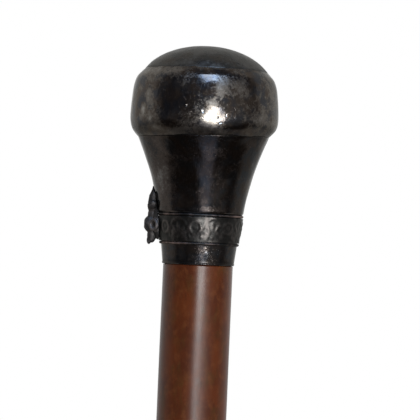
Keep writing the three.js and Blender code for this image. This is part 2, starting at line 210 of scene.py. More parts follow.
def add_world():
    world = bpy.data.worlds.new("studio")
    scene.world = world
    g = Graph(world)
    direction = g.node("TexCoord").outputs["Generated"]
    x, y, z = g.node("SeparateXYZ", {0: direction}).outputs
    toward_room = g.total((x, math.sin(ROOM_TURN)), (y, -math.cos(ROOM_TURN)))
    in_front = g.step(toward_room, -0.16, g.step(z, 0.5, 0.8, 0.2, -0.02))
    behind = g.step(toward_room, -0.3, -0.85)
    backdrop = g.mix(behind, (0.62, 0.62, 0.61), (0.86, 0.86, 0.85))
    backdrop = g.mix(g.step(z, -0.04, -0.4), backdrop, (0.36, 0.36, 0.35))
    backdrop = g.mix(g.step(z, -0.4, -0.6), backdrop, (0.66, 0.64, 0.6))
    backdrop = g.mix(g.step(z, 0.55, 0.95), backdrop, (0.55, 0.535, 0.52))
    clutter = g.noise(0.3, 2, place=direction)
    room = g.mix(g.step(clutter, 0.36, 0.64), (0.085, 0.085, 0.1), (0.23, 0.215, 0.21))
    room = g.mix(g.step(z, -0.12, -0.42), room, (0.06, 0.048, 0.042))
    wall_edge, wall_middle = np.cos(np.radians([44, 6]))
    wall = g.step(g.dot(direction, toward(42, 6)), wall_edge, wall_middle, end=0.4)
    room = g.mix(wall, room, (0.7, 0.69, 0.67))
    aside = g.dot(direction, toward(100, 0))
    sill = g.times(g.step(g.math("ABSOLUTE", aside), 0.34, 0.08), g.step(z, -0.2, -0.26))
    sill = g.times(sill, g.step(z, -0.92, -0.55, 0.3, 1))
    room = g.mix(sill, room, (0.62, 0.66, 0.82))
    seen = g.mix(in_front, backdrop, room)
    seen = g.mix(g.times(in_front, g.step(z, -0.6, -0.9)), seen, (0.06, 0.05, 0.045))
    from_camera, shiny = g.ray_kinds()
    surroundings = g.mix(shiny, (0.25, 0.25, 0.25), seen)
    color = g.mix(from_camera, surroundings, (1, 1, 1))
    background = g.node("Background", {"Color": color, "Strength": 1.0})
    g.node("OutputWorld", {"Surface": background.outputs[0]})


def new_object(name, bm):
    """Makes an object of a mesh that was built in bm, and frees bm."""
    mesh = bpy.data.meshes.new(name)
    bm.to_mesh(mesh)
    bm.free()
    return linked(name, mesh)


def add_floor():
    bm = bmesh.new()
    bmesh.ops.create_circle(bm, cap_ends=True, radius=FLOOR_RADIUS * MM, segments=96)
    floor = new_object("floor", bm)
    g = new_material("pale_floor")
    length = g.vector("LENGTH", g.millimetres())["Value"]
    white = g.node("Emission", {"Color": (1, 1, 1), "Strength": 1.0}).outputs[0]
    far = g.step(length, FLOOR_RADIUS * 0.2, FLOOR_RADIUS * 0.8)
    from_camera, shiny = g.ray_kinds()
    paint = g.mix(g.noise(2.5), (0.87, 0.83, 0.78), (0.91, 0.87, 0.82))
    paint = g.mix(shiny, paint, (0.3, 0.27, 0.25))
    pale = g.node("BsdfDiffuse", {"Color": paint}).outputs[0]
    paled = g.times(from_camera, g.total((far, 0.55), (1.0, 0.45)))
    share = g.math("MAXIMUM", paled, g.times(g.times(shiny, far), 0.2))
    pale_floor = g.surface(g.node("MixShader", {0: share, 1: pale, 2: white}).outputs[0])
    floor.data.materials.append(pale_floor)


def add_lamp(name, direction, distance, size, power, color, shiny=True):
    """A soft rectangular lamp aimed at the knob."""
    data = bpy.data.lights.new(name, "AREA")
    data.shape = "RECTANGLE"
    data.size = size[0] * MM
    data.size_y = size[1] * MM
    data.energy = power
    data.color = color
    lamp = linked(name, data)
    lamp.location = KNOB_MIDDLE + direction * distance * MM
    lamp.rotation_mode = "QUATERNION"
    lamp.rotation_quaternion = direction.to_track_quat("Z", "Y")
    lamp.visible_camera = False
    lamp.visible_glossy = shiny


def add_lamps():
    add_lamp("window", toward(16.5, -4.2), 1600, (600, 420), 19, (0.98, 1.0, 1.0))
    add_lamp("skylight", toward(8, 49.5), 1200, (500, 660), 11.5, (0.47, 0.67, 1.0))
    add_lamp("fill", toward(60, 18), 1500, (1200, 1200), 2.8, (1.0, 0.99, 0.97), shiny=False)


# Outlines: lists of radius and height, from the top down


def corners(node, outside=True):
    """The corners of a turned CAD node on its outside or its inside, from the top down."""
    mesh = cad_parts[node].data
    found = set()
    for face in mesh.polygons:
        outward = Vector((face.center.x, face.center.y, 0)).normalized()
        facing = face.normal.dot(outward)
        if facing > 0.02 if outside else facing < -0.02:
            for i in face.vertices:
                x, y, z = mesh.vertices[i].co / MM
                found.add((round(math.hypot(x, y), 2), round(z, 2)))
    kept = []
    for here in sorted(found, key=lambda p: (-p[1], p[0])):
        if not kept or math.dist(here, kept[-1]) > 0.05:
            kept.append(here)
    return kept


def spline(points, steps):
    """A smooth run through the points."""
    p = np.array(points, float)
    if len(p) < 3:
        return [tuple(p[0] + (p[-1] - p[0]) * t) for t in np.linspace(0, 1, steps + 1)]
    p = np.vstack([2 * p[0] - p[1], p, 2 * p[-1] - p[-2]])
    run = []
    for a, b, c, d in zip(p, p[1:], p[2:], p[3:]):
        for t in np.arange(steps) / steps:
            bend = (2 * a - 5 * b + 4 * c - d) * t * t
            run.append(0.5 * (2 * b + (c - a) * t + bend + (3 * b - a - 3 * c + d) * t**3))
    run.append(p[-2])
    return [tuple(q) for q in run]


def even(points, spacing):
    """The same outline with its points this far apart."""
    p = np.array(points, float)
    along = np.concatenate([[0], np.cumsum(np.linalg.norm(np.diff(p, axis=0), axis=1))])
    count = max(2, round(along[-1] / spacing) + 1)
    places = np.linspace(0, along[-1], count)
    return np.stack([np.interp(places, along, p[:, k]) for k in (0, 1)], axis=1)


def blur(width):
    """The weights of a blur over about this many cells, and its reach in cells."""
    half = int(3 * width) + 1
    kernel = np.exp(-0.5 * (np.arange(-half, half + 1) / width) ** 2)
    return kernel / kernel.sum(), half


def eased(points, spacing, reach):
    """An evenly spaced outline with its corners rounded over about this reach. The ends stay."""
    p = even(points, spacing)
    kernel, half = blur(reach / spacing)
    padded = np.pad(p, ((half, half), (0, 0)), "reflect", reflect_type="odd")
    return np.stack([np.convolve(padded[:, k], kernel, "valid") for k in (0, 1)], axis=1)


# Meshes


def add_piece(name, points, faces, material, slot, **attributes):
    """Makes a mesh from points in millimetres. It rides on the part in place of the CAD node of its name."""
    mesh = bpy.data.meshes.new(name)
    mesh.from_pydata((np.asarray(points) * MM).tolist(), [], faces)
    mesh.validate()
    mesh.shade_smooth()
    mesh.materials.append(material)
    for key, values in attributes.items():
        attribute = mesh.attributes.new(key, "FLOAT", "POINT")
        attribute.data.foreach_set("value", np.asarray(values, np.float32))
    piece = linked(name, mesh)
    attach(piece, "root")
    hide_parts(name)


def ring_faces(rings):
    """Faces between each ring of point numbers and the next one down."""
    faces = []
    for upper, lower in zip(rings, rings[1:]):
        for i in range(len(upper)):
            j = (i + 1) % len(upper)
            faces.append(list(dict.fromkeys([upper[i], lower[i], lower[j], upper[j]])))
    return faces


def on_circle(turn, radius, height):
    """Points this far round the stick, where a turn of 0 is the front."""
    return np.stack([radius * np.sin(turn), -radius * np.cos(turn), height + 0 * turn], axis=-1)


def lathe(loop, steps):
    """Points and faces of a closed solid of revolution. The loop of radii and heights runs down the outside
    and back up the inside. A loop that starts on the axis also ends there."""
    turns = np.arange(steps) * 2 * math.pi / steps
    parts, rings, start = [], [], 0
    for radius, height in loop:
        on_axis = radius < 1e-6
        parts.append([(0, 0, height)] if on_axis else on_circle(turns, radius, height))
        rings.append([start] * steps if on_axis else range(start, start + steps))
        start += len(parts[-1])
    if loop[0][0] >= 1e-6:
        rings.append(rings[0])
    return np.vstack(parts), ring_faces(rings)


def waves(points, size, seed):
    """Smooth noise from -1 to 1 at each point, with lumps about this size."""
    shift = Vector((seed * 17.3, seed * 5.9, seed * 11.1))
    return np.array([noise.noise(Vector(p) / size + shift) for p in points])


def from_axis(points):
    """How far each point is from the stick's axis."""
    return np.hypot(points[:, 0], points[:, 1])


def pushed_in(points, depth, limit):
    """The points moved towards the stick's axis by these depths, and kept within a radius."""
    radius = from_axis(points)
    share = np.minimum(radius - depth, limit) / np.maximum(radius, 1e-6)
    moved = points.copy()
    moved[:, :2] *= share[:, None]
    return moved


def dented(points, count, size, depth, seed):
    """Depths of a few shallow knocks, spread over the points."""
    random = np.random.default_rng(seed)
    depths = np.zeros(len(points))
    for place in points[random.integers(0, len(points), count)]:
        reach = size * random.uniform(0.5, 1.4)
        far = np.linalg.norm((points - place) * (1, 1, random.uniform(0.6, 1.3)), axis=1)
        depths += depth * random.uniform(0.3, 1) * np.exp(-0.5 * (far / reach) ** 2)
    return depths


# Materials

METAL = {"Metallic": 1.0}
SILVER = {"Metallic": 1.0, "Specular Tint": (0.66, 0.66, 0.65)}
WORN_WIDTH = 0.13
DIRT_AND_SHADE_TONE = 0.32


def tarnished_silver(name, seed, colors, worn_from, softness, gloss, dull, nicks=(), scratches=()):
    """Glossy tarnish on hand-raised sheet, mottled from black to pinkish grey. The colours are the two of the
    tarnish, that of thin tarnish and that of worn metal. Gloss and dull are the roughness of the thick and
    the thin tarnish. The attribute "rub" marks where it is worn, and also where the tarnish is lightened as a
    painted highlight or kept dark as painted shade. The attribute "grime" darkens the colour: partly soiling
    at seams and pits, partly painted shade laid over glints and reflections."""
    g = new_material(name)
    cool, warm, thin_color, worn_color = colors
    offset = (seed * 31, seed * 17, seed * 7)
    broad = g.noise(7.5, 2, distortion=0.6, offset=offset)
    blotches = g.noise(2.6, 8, 0.68, 0.5, offset=offset)
    mottles = g.noise(0.95, 4, 0.65, 0.3, offset=(seed * 3, 5, 60))
    specks = g.noise(0.36, 3, 0.7, offset=offset)
    lumps = g.noise(4.2, 2, 0.4, offset=(seed, 8, 21))
    ripples = g.noise(1.25, 2, 0.5, offset=(14, seed, 5))
    hue = g.noise(3.6, 4, distortion=0.4, offset=(seed * 3, 40, 9))
    hairlines = g.noise(0.9, 5, 0.7, stretch=(0.3, 0.3, 4.5), offset=(seed, 3, 2))
    wear = g.total((broad, 0.29), (blotches, 0.35), (mottles, 0.26), (specks, 0.1))
    # Wear, thin tarnish and worn metal take in the attribute "rub", so they are partly wear and partly
    # painted highlight and painted shade.
    wear = g.total((wear, 1.0), (g.attribute("edge"), 0.04), (g.attribute("rub_and_painted_light"), 1.0))
    thin = g.step(wear, worn_from, worn_from + softness)
    worn = g.step(wear, worn_from + softness, worn_from + softness + WORN_WIDTH)
    color = g.mix(g.step(hue, 0.4, 0.6), cool, warm)
    color = g.mix(thin, color, thin_color)
    color = g.mix(worn, color, worn_color)
    hairline = g.step(hairlines, 0.64, 0.72, end=0.5)
    place = g.millimetres()
    for line in scratches:
        broken = g.times(g.near_line(place, *line), g.step(mottles, 0.32, 0.52))
        hairline = g.math("MAXIMUM", hairline, broken)
    color = g.mix(g.times(hairline, 0.6), color, worn_color)
    struck = 0.0
    for line in nicks:
        struck = g.math("MAXIMUM", struck, g.near_line(place, *line))
    stain = g.times(g.step(specks, 0.46, 0.32), g.step(blotches, 0.42, 0.54, end=0.8))
    # Stains are the metal's own. The attribute "grime" is partly soiling at seams and pits and partly painted
    # shade over glints and reflections.
    dirt_and_shade = g.math("MAXIMUM", stain, g.attribute("dirt_and_shade"))
    color = g.mix(dirt_and_shade, color, [DIRT_AND_SHADE_TONE * c for c in warm])
    color = g.mix(struck, color, [min(1, 2 * c) for c in worn_color])
    pits = g.step(specks, 0.6, 0.7)
    low = g.bump(g.total((lumps, 0.75), (broad, 0.25)), 0.3, 0.7)
    middle = g.bump(g.total((ripples, 0.7), (blotches, 0.3)), 0.055, 0.7, low)
    high = g.bump(g.total((mottles, 0.5), (pits, -0.5), (hairline, -0.2)), 0.035, 0.6, middle)
    if nicks:
        high = g.bump(g.times(struck, -1.0), 0.16, 1.0, high)
    sheen = g.total((thin, dull - gloss), (mottles, 0.12), (dirt_and_shade, 0.2), (1.0, gloss - 0.06))
    haze = g.total((thin, 0.26), (worn, 0.16), (mottles, 0.24), (struck, 0.4), (1.0, -0.03))
    clear = g.principled(color, sheen, high, SILVER)
    soft = g.principled(color, g.total((sheen, 0.4), (1.0, 0.34)), high, SILVER)
    return g.surface(g.node("MixShader", {0: haze, 1: clear, 2: soft}).outputs[0])


def relief_silver(name, hollow_color, worn_color, shine):
    """Cast and stamped silver: dark in the hollows, a little rubbed on the high parts. On the band the high
    mark also holds a painted highlight: a lighter column where the window's reflection runs down it.
    """
    g = new_material(name)
    patches = g.noise(2.1, 4, distortion=0.4)
    specks = g.noise(0.4, 4, 0.65)
    high = g.attribute("high")
    rubbed = g.step(g.total((high, 0.5), (patches, 1.0), (specks, 0.25)), 0.62, 1.2)
    hollow = g.mix(patches, [0.7 * c for c in hollow_color], hollow_color)
    color = g.mix(rubbed, hollow, worn_color)
    roughness = g.total((rubbed, 0.04), (specks, 0.14), (1.0, shine))
    normal = g.bump(g.total((patches, 0.6), (specks, 0.4)), 0.05, 0.5)
    return g.surface(g.principled(color, roughness, normal, SILVER))


def malacca_cane():
    """Red-brown varnished cane: soft red and olive mottling, and faint pores along its length. The varnish is
    less worn close under the collar."""
    g = new_material("malacca")
    clouds = g.noise(5.5, 4, 0.55, 0.3, stretch=(1, 1, 0.6))
    mottle = g.noise(1.9, 5, 0.6, stretch=(1, 1, 0.7), offset=(7, 3, 1))
    olive = g.noise(3.8, 4, stretch=(1, 1, 0.5), offset=(2, 9, 4))
    pores = g.noise(0.35, 3, 0.6, stretch=(1, 1, 0.12))
    color = g.mix(g.step(clouds, 0.34, 0.66), (0.084, 0.0175, 0.0034), (0.056, 0.0118, 0.003))
    color = g.mix(g.step(olive, 0.46, 0.7, end=0.6), color, (0.058, 0.024, 0.005))
    color = g.mix(g.step(mottle, 0.45, 0.72, end=0.7), color, (0.106, 0.029, 0.0075))
    color = g.mix(g.step(pores, 0.56, 0.75, end=0.35), color, (0.03, 0.009, 0.004))
    height = g.node("SeparateXYZ", {0: g.millimetres()}).outputs[2]
    fresh = g.step(height, COLLAR_FOOT - 30, COLLAR_FOOT - 2)
    roughness = g.total((mottle, 0.1), (pores, 0.08), (fresh, -0.08), (1.0, 0.27))
    low = g.bump(g.total((clouds, 0.7), (mottle, 0.3)), 0.1, 0.35)
    high = g.bump(pores, 0.012, 0.35, low)
    return g.surface(g.principled(color, roughness, high, {"Specular IOR Level": 0.25}))


def worn_metal(name, bright, dark, shine, lines):
    """Turned metal that has dulled: patches of two tones, with fine scratches around it and along it."""
    g = new_material(name)
    patches = g.noise(4.5, 4, distortion=0.5)
    specks = g.noise(0.5, 4, 0.7)
    around = g.noise(0.8, 4, 0.6, stretch=(0.2, 0.2, 4))
    along = g.noise(0.9, 4, 0.7, stretch=(2.5, 2.5, 0.12))
    wear = g.total((patches, 0.5), (specks, 0.25), (around, 0.15), (along, 0.1), (g.attribute("edge"), 0.25))
    color = g.mix(g.step(wear, 0.4, 0.68), dark, bright)
    roughness = g.total((patches, 0.22), (specks, 0.14), (1.0, shine))
    normal = g.bump(g.total((around, lines), (along, 0.4), (specks, 0.5)), 0.03, 0.6)
    return g.surface(g.principled(color, roughness, normal, METAL))


def bare_wood():
    """Turned hardwood without varnish, with its grain along the dowel."""
    g = new_material("plain_wood")
    rings = g.noise(1.4, 4, distortion=0.6, stretch=(1, 1, 0.06))
    pores = g.noise(0.25, stretch=(1, 1, 0.08))
    color = g.mix(g.step(rings, 0.35, 0.68), (0.42, 0.24, 0.1), (0.3, 0.15, 0.06))
    color = g.mix(g.step(pores, 0.55, 0.7, end=0.5), color, (0.16, 0.08, 0.03))
    roughness = g.total((rings, 0.15), (1.0, 0.6))
    return g.surface(g.principled(color, roughness, g.bump(pores, 0.03, 0.6), {}))


def hard_filling():
    """Dark pitch with resin and grit in it."""
    g = new_material("filling")
    lumps = g.noise(3, 4)
    grit = g.noise(0.4, 3, 0.7)
    color = g.mix(g.step(lumps, 0.35, 0.7), (0.012, 0.008, 0.006), (0.03, 0.018, 0.011))
    color = g.mix(g.step(grit, 0.66, 0.74), color, (0.12, 0.09, 0.06))
    roughness = g.total((lumps, 0.25), (grit, 0.2), (1.0, 0.25))
    return g.surface(g.principled(color, roughness, g.bump(grit, 0.08, 0.7), {}))


# Knob

SHEET = 0.6
ROUND_STEPS = 300
OUTLINE_STEP = 0.18
RIDGE_BEND = 1.2
COLLAR_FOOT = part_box("knob_neck")[0].z / MM


def inner_line(outer):
    """The outline moved inwards by the sheet's thickness, with fewer points, from the bottom up."""
    along = np.gradient(outer, axis=0)
    along /= np.linalg.norm(along, axis=1)[:, None]
    inner = outer + np.stack([along[:, 1], -along[:, 0]], axis=1) * SHEET
    inner[:, 0] = np.maximum(inner[:, 0], 0)
    return inner[::-1][::8]


def edge_share(outer):
    """From 0 to 1, how much each point of the outline stands out as a ridge."""
    along = np.gradient(outer, axis=0)
    angle = np.unwrap(np.arctan2(along[:, 1], along[:, 0]))
    step = np.linalg.norm(np.diff(outer, axis=0), axis=1).mean()
    return np.clip(-np.gradient(angle) / step / RIDGE_BEND, 0, 1)


CROWN_SEAM = corners("knob_cap")[-1][1]
NECK_CORNERS = corners("knob_neck")
NECK_SEAM = NECK_CORNERS[0][1]
SEAT_TOP_RADIUS, SEAT_TOP_HEIGHT = next(
    (here[0], here[1] - COLLAR_FOOT)
    for here, below in zip(NECK_CORNERS, NECK_CORNERS[1:])
    if here[1] - below[1] > 10
)
FOOT_RADIUS = NECK_CORNERS[-1][0]

# How far each seam strays up and down, and the seed for it.
SEAM_SWING = {"crown": (0.3, 21), "neck": (0.26, 22), "foot": (0.0, 0)}
SEAM_LEAN = 0.03

# Tarnish in two tints, thin tarnish and worn metal.
CAP_COLORS = [(0.058, 0.059, 0.058), (0.068, 0.062, 0.056), (0.102, 0.098, 0.091), (0.16, 0.148, 0.135)]
BELLY_COLORS = [(0.055, 0.056, 0.062), (0.082, 0.067, 0.057), (0.155, 0.139, 0.123), (0.3, 0.285, 0.265)]
NECK_COLORS = [(0.044, 0.046, 0.05), (0.056, 0.047, 0.042), (0.082, 0.068, 0.062), (0.17, 0.16, 0.153)]

# Soft spots: the azimuth in degrees, the height, half of the width in degrees, half of the height, and a
# strength. A rub wears the tarnish, and one below 0 keeps it. Many of these spots are also painted light:
# they lighten the tarnish where highlights and reflections fall, as on the left of the neck and round the
# window's highlight, and keep it dark where a highlight on the collar would be too bright. A knock is a
# depth, and one below 0 stands out.
CAP_RUBS = [(-60, 893.5, 40, 1.4, 0.05), (70, 893.5, 35, 1.4, 0.05)]
BELLY_RUBS_AND_LIGHT = [
    (16, 888, 6, 2, 0.055), (11, 885.5, 5, 2, 0.1), (7, 882.3, 5, 2, 0.09),
    (4, 877.4, 6, 3, 0.07), (24, 876, 8, 2.5, -0.05), (25, 883, 6, 4.5, 0.045),
    (-68, 881, 16, 8, -0.045), (-50, 883.4, 3, 2.4, 0.13), (-55.5, 879.5, 3, 1.8, 0.2),
    (-47, 876.8, 2.2, 1.4, 0.15), (-41, 874.2, 7, 0.7, 0.12), (-50, 891, 24, 1.2, 0.05),
    (15, 891.2, 34, 1.3, -0.07), (42, 888.6, 6, 1.6, -0.1), (50, 877, 5, 3, 0.07),
    (53, 875.5, 4, 1.2, -0.13), (38, 877.6, 7, 1, 0.07), (56, 884, 8, 3, -0.05),
    (-22, 884, 18, 5, -0.045),
]
NECK_RUBS_AND_LIGHT = [
    (4, 866, 18, 4, 0.03), (9, 850.6, 7, 0.8, 0.16), (-6, 836.8, 9, 1.8, 0.07),
    (10, 839.6, 7, 1.8, -0.1), (-60, 836, 20, 3, 0.03), (-52, 862, 20, 16, 0.16),
]
BELLY_KNOCKS = [
    (9.5, 877.3, 9.5, 3.4, 0.2), (7, 878, 3.6, 3.2, 0.06), (11, 873.4, 11, 1.7, -0.36),
    (13, 880.2, 4.5, 1.5, -0.08), (24, 887, 8, 2.2, 0.06), (-16, 887, 12, 2, 0.05),
]
NECK_KNOCKS = [(9, 851, 20, 1.2, 0.03), (9, 840.6, 10, 2, -0.11)]
# Dark spots where the highlights fall on the belly: partly pits, partly painted shade that dims the upper
# right of the window's highlight.
BELLY_PITS_AND_SHADE = [(12.4, 879.2, 3.4, 1.7, 0.85), (-3.5, 888.6, 3.5, 0.7, 0.9)]

# Lines: azimuth, radius and height of both ends, and half of the width.
BELLY_NICKS = [
    ((-13.6, 22.1, 880.8), (-13.4, 22.1, 881), 0.4),
    ((-1.2, 22.2, 879.2), (-1, 22.2, 879.4), 0.6),
    ((10.2, 22.1, 877.5), (10.6, 22.1, 877.7), 0.35),
    ((11.8, 22, 876), (13.2, 22, 876.1), 0.35),
    ((16.6, 22.1, 878.2), (16.8, 22.1, 878.6), 0.45),
    ((27, 22.1, 878.6), (27.4, 22.1, 879), 0.35),
    ((-42, 22.1, 874.5), (-41, 22.1, 874.4), 0.4),
]
NECK_SCRATCHES = [
    ((-3, 15.4, 861), (19, 15.5, 861.1), 0.3),
    ((-3, 18.2, 869.6), (2, 18.1, 869), 0.4),
    ((-30, 15.6, 862), (-12, 15.5, 861.6), 0.22),
]


def seam_swing(points, seam):
    """How far a seam strays up or down at each point's turn round the stick."""
    swing, seed = SEAM_SWING[seam]
    turn = np.arctan2(points[:, 0], -points[:, 1])
    ring = on_circle(turn, 20, 0)
    return swing * (waves(ring, 6.5, seed) + 0.45 * waves(ring, 1.9, seed + 7))


def leaning(points):
    """The seam under the belly isn't square to the stick: how far it lifts the right and lowers the left."""
    away = points[:, 2] - NECK_SEAM
    share = np.exp(-((away / np.where(away > 0, 4.5, 9)) ** 2))
    return SEAM_LEAN * share * points[:, 0]


def spotted(points, spots):
    """The sum of the soft spots at each point."""
    azimuth = np.degrees(np.arctan2(points[:, 0], -points[:, 1]))
    amount = np.zeros(len(points))
    for at, height, wide, tall, strength in spots:
        far = ((azimuth - at + 180) % 360 - 180) / wide
        amount += strength * np.exp(-(far**2) - ((points[:, 2] - height) / tall) ** 2)
    return amount


def add_sheet(name, outer, seams, material, seed, dents, knocks, dirt_and_shade, rubs_and_painted_light):
    """A sheet-metal shell of revolution with a slightly uneven outside, between two seams. The crown has
    only the lower one."""
    shares = edge_share(outer)
    near_ends = outer[[0, -1]] * 0.9 + outer[[1, -2]] * 0.1
    line = np.insert(outer, [1, len(outer) - 1], near_ends, axis=0)
    shares = np.insert(shares, [1, len(shares) - 1], shares[[0, -1]])
    closed_top = seams[0] is None
    low, high = outer[:, 1].min(), outer[:, 1].max()
    inner = inner_line(outer)
    inner = inner[(inner[:, 1] > low + 0.01) & (inner[:, 1] < high - 0.01)]
    first_inside = [(0, high - SHEET)] if closed_top else [(inner[-1][0], high)]
    points, faces = lathe(np.vstack([line, [(inner[0][0], low)], inner, first_inside]), ROUND_STEPS)
    edges = np.repeat(shares, ROUND_STEPS)
    if closed_top:
        edges = edges[ROUND_STEPS - 1 :]
    count = len(edges)
    outside = points[:count].copy()
    depth = 0.09 * waves(outside, 8, seed) + 0.045 * waves(outside, 3.2, seed + 1)
    depth += dented(outside, dents, 1.5, 0.12, seed) + spotted(outside, knocks)
    depth *= np.interp(outside[:, 2], [COLLAR_FOOT + 5.5, COLLAR_FOOT + 7.5], [0.4, 1])
    ends = [0.3, 1, 1, 0 if closed_top else 0.3]
    depth *= np.interp(outside[:, 2], [low, low + 0.6, high - 0.6, high], ends)
    points[:count] = pushed_in(outside, depth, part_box(name)[1].x / MM)
    swing = leaning(points)
    for height, seam in zip((high, low), seams):
        if seam:
            near = np.clip(1 - np.abs(points[:, 2] - height) / 2.5, 0, 1) ** 2
            swing += near * seam_swing(points, seam)
    points[:, 2] += swing
    # The darkening is partly soiling and partly painted shade; the wear spots are partly real wear and partly
    # painted light.
    dirt_and_shade_amount = np.clip(dirt_and_shade(points), 0, 1) * (0.725 + 0.275 * waves(points, 3, seed + 30))
    worn = {"edge": np.pad(edges, (0, len(points) - count)), "rub_and_painted_light": spotted(points, rubs_and_painted_light), "dirt_and_shade": dirt_and_shade_amount}
    add_piece(name, points, faces, material, "tarnished_silver", **worn)


def cap_outline():
    line = spline(corners("knob_cap"), 12)
    line[0] = (0, line[0][1])
    rim_radius, rim_height = line[-1]
    line = [p for p in line if p[0] < rim_radius - 0.15]
    return eased([*line, (rim_radius, rim_height - 0.1)], OUTLINE_STEP, 0.08)


def belly_outline():
    line = spline(corners("knob_belly"), 8)
    radius, height = line[-1]
    return eased([*line, (radius - 0.15, height - 0.07)], OUTLINE_STEP, 0.08)


def neck_outline():
    seat_top = COLLAR_FOOT + SEAT_TOP_HEIGHT
    flare = spline([p for p in NECK_CORNERS if p[1] > seat_top + 0.1], 8)
    seat = [(SEAT_TOP_RADIUS + 0.2, seat_top), (SEAT_TOP_RADIUS, seat_top - 0.05)]
    foot = [p for p in NECK_CORNERS if p[1] < seat_top - 0.1]
    return eased([(flare[0][0] - 0.15, flare[0][1]), *flare, *seat, *foot], OUTLINE_STEP, 0.09)


def gathered(points, height, reach):
    """From 0 to 1, how near each point is to a height."""
    return np.exp(-(((points[:, 2] - height) / reach) ** 2))


def cap_seam_darkening(points):
    # Darker along the crown seam.
    return 0.45 * gathered(points, CROWN_SEAM, 0.6)


def belly_dirt_and_shade(points):
    """Darker at both seams, in the pits and over the belly's foot: partly soiling, partly painted shade that
    dims the highlights and the floor's reflection there. Above the lower seam it is rubbed off at the front.
    """
    foot = 0.8 * gathered(points, NECK_SEAM + 1.2, 2.4)
    rubbed_off = spotted(points, [(9, NECK_SEAM + 4, 10, 2.4, 0.9)])
    return cap_seam_darkening(points) + foot * (1 - rubbed_off) + spotted(points, BELLY_PITS_AND_SHADE)


def neck_dirt_and_shade(points):
    # Darker at the lower seam and at the collar's foot: soiling in the joints, and painted shade that dims
    # the glints on the seam's rim and on the collar's hem.
    return 0.7 * gathered(points, NECK_SEAM, 0.9) + 0.9 * gathered(points, COLLAR_FOOT + 0.9, 0.6)


def add_knob():
    cap = tarnished_silver("silver_cap", 1, CAP_COLORS, 0.46, 0.12, 0.28, 0.38)
    belly = tarnished_silver("silver_belly", 2, BELLY_COLORS, 0.465, 0.1, 0.1, 0.22, nicks=BELLY_NICKS)
    neck = tarnished_silver("silver_neck", 3, NECK_COLORS, 0.5, 0.14, 0.11, 0.17, scratches=NECK_SCRATCHES)
    add_sheet("knob_cap", cap_outline(), (None, "crown"), cap, 1, 10, [], cap_seam_darkening, CAP_RUBS)
    belly_wear = (26, BELLY_KNOCKS, belly_dirt_and_shade, BELLY_RUBS_AND_LIGHT)
    add_sheet("knob_belly", belly_outline(), ("crown", "neck"), belly, 2, *belly_wear)
    add_sheet("knob_neck", neck_outline(), ("neck", "foot"), neck, 3, 18, NECK_KNOCKS, neck_dirt_and_shade, NECK_RUBS_AND_LIGHT)


# Collar: wires and relief band

JOINT_GAP = 0.1
WIRE_HEIGHT = 0.85
WIRE_THICKNESS = 0.5
WIRE_STEPS = 360
BAND_THICKNESS = 0.42
CARTOUCHE_TURN = math.radians(-90)
UPPER_WIRE_SPOTS = [(62, 848.8, 28, 9, 1), (-50, 848.8, 14, 9, 0.5), (160, 848.8, 30, 9, 0.8)]
LOWER_WIRE_SPOTS = [(-38, 840.2, 30, 9, 0.75), (120, 840.2, 30, 9, 0.8)]

# Heights from here on are above the collar's foot.
UPPER_WIRE_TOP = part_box("upper_edge_wire")[1].z / MM - COLLAR_FOOT
LOWER_WIRE_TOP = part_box("lower_edge_wire")[1].z / MM - COLLAR_FOOT
BAND_TOP = UPPER_WIRE_TOP - WIRE_HEIGHT - JOINT_GAP
BAND_BOTTOM = LOWER_WIRE_TOP + JOINT_GAP
BAND_MIDDLE = (BAND_TOP + BAND_BOTTOM) / 2
BAND_HEIGHT = BAND_TOP - BAND_BOTTOM
ROOT_RISE = 1.25
ARCH_HEIGHT = BAND_HEIGHT - ROOT_RISE - 0.45
ROSETTE_RISE = 0.5


def cone_radius(height):
    return np.interp(height, [0, SEAT_TOP_HEIGHT], [FOOT_RADIUS, SEAT_TOP_RADIUS])


def face_radius(height):
    return cone_radius(height) + JOINT_GAP + BAND_THICKNESS


def dome(distance, half_width):
    """A rounded ridge: 1 at distance 0, and 0 from half_width on."""
    return np.sqrt(np.clip(1 - (distance / half_width) ** 2, 0, 1))


def rosette(u, v):
    """Height of a rosette round the origin: a raised ring of eight petals round a boss."""
    far = np.hypot(u, v)
    turn = np.arctan2(v, u)
    petal = 0.7 + 0.3 * np.abs(np.cos(4 * turn)) ** 0.7
    ring = 0.62 * dome(far - 1.68, 0.52) * petal
    boss = 0.6 * dome(far, 0.82) - 0.12 * np.exp(-((far / 0.22) ** 2))
    return np.maximum(ring, boss)


def palmette(u, v):
    """Height of a fan of five lobes over two curls, under an arch. The origin is the fan's root."""
    height = np.zeros_like(u)
    for i, length in enumerate([2.85, 3.82, 4.2, 3.82, 2.85]):
        angle = math.radians((i - 2) * 27)
        along = u * math.sin(angle) + v * math.cos(angle) - 0.7
        across = u * math.cos(angle) - v * math.sin(angle)
        share = np.clip(along / length, 0, 1)
        half_width = 0.12 + 0.46 * np.sin(math.pi * share**1.25) ** 0.8
        inside = (along > 0) & (along < length)
        lobe = 0.5 * dome(across, half_width) * np.sin(math.pi * np.clip(share, 0.04, 0.96)) ** 0.35
        lobe -= 0.14 * np.exp(-((across / 0.1) ** 2)) * (share > 0.2)
        height = np.maximum(height, np.where(inside, lobe, 0))
    for side in (-1, 1):
        x, y = (u - side * 1.95) * side, v + 0.02
        far, turn = np.hypot(x, y), np.arctan2(y, x)
        spiral = np.abs((far - 0.3 - 0.085 * (turn + math.pi)) % 0.534 - 0.267)
        curl = 0.42 * dome(0.267 - spiral, 0.2) * (far < 0.95)
        height = np.maximum(height, curl)
    height = np.maximum(height, 0.5 * dome(np.hypot(u, v - 0.1), 0.62))
    arch = np.hypot(u / 3.3, v / ARCH_HEIGHT)
    rib = 0.36 * dome((arch - 1) * 3.6, 0.34) * (v > -0.2)
    return np.maximum(height, rib)


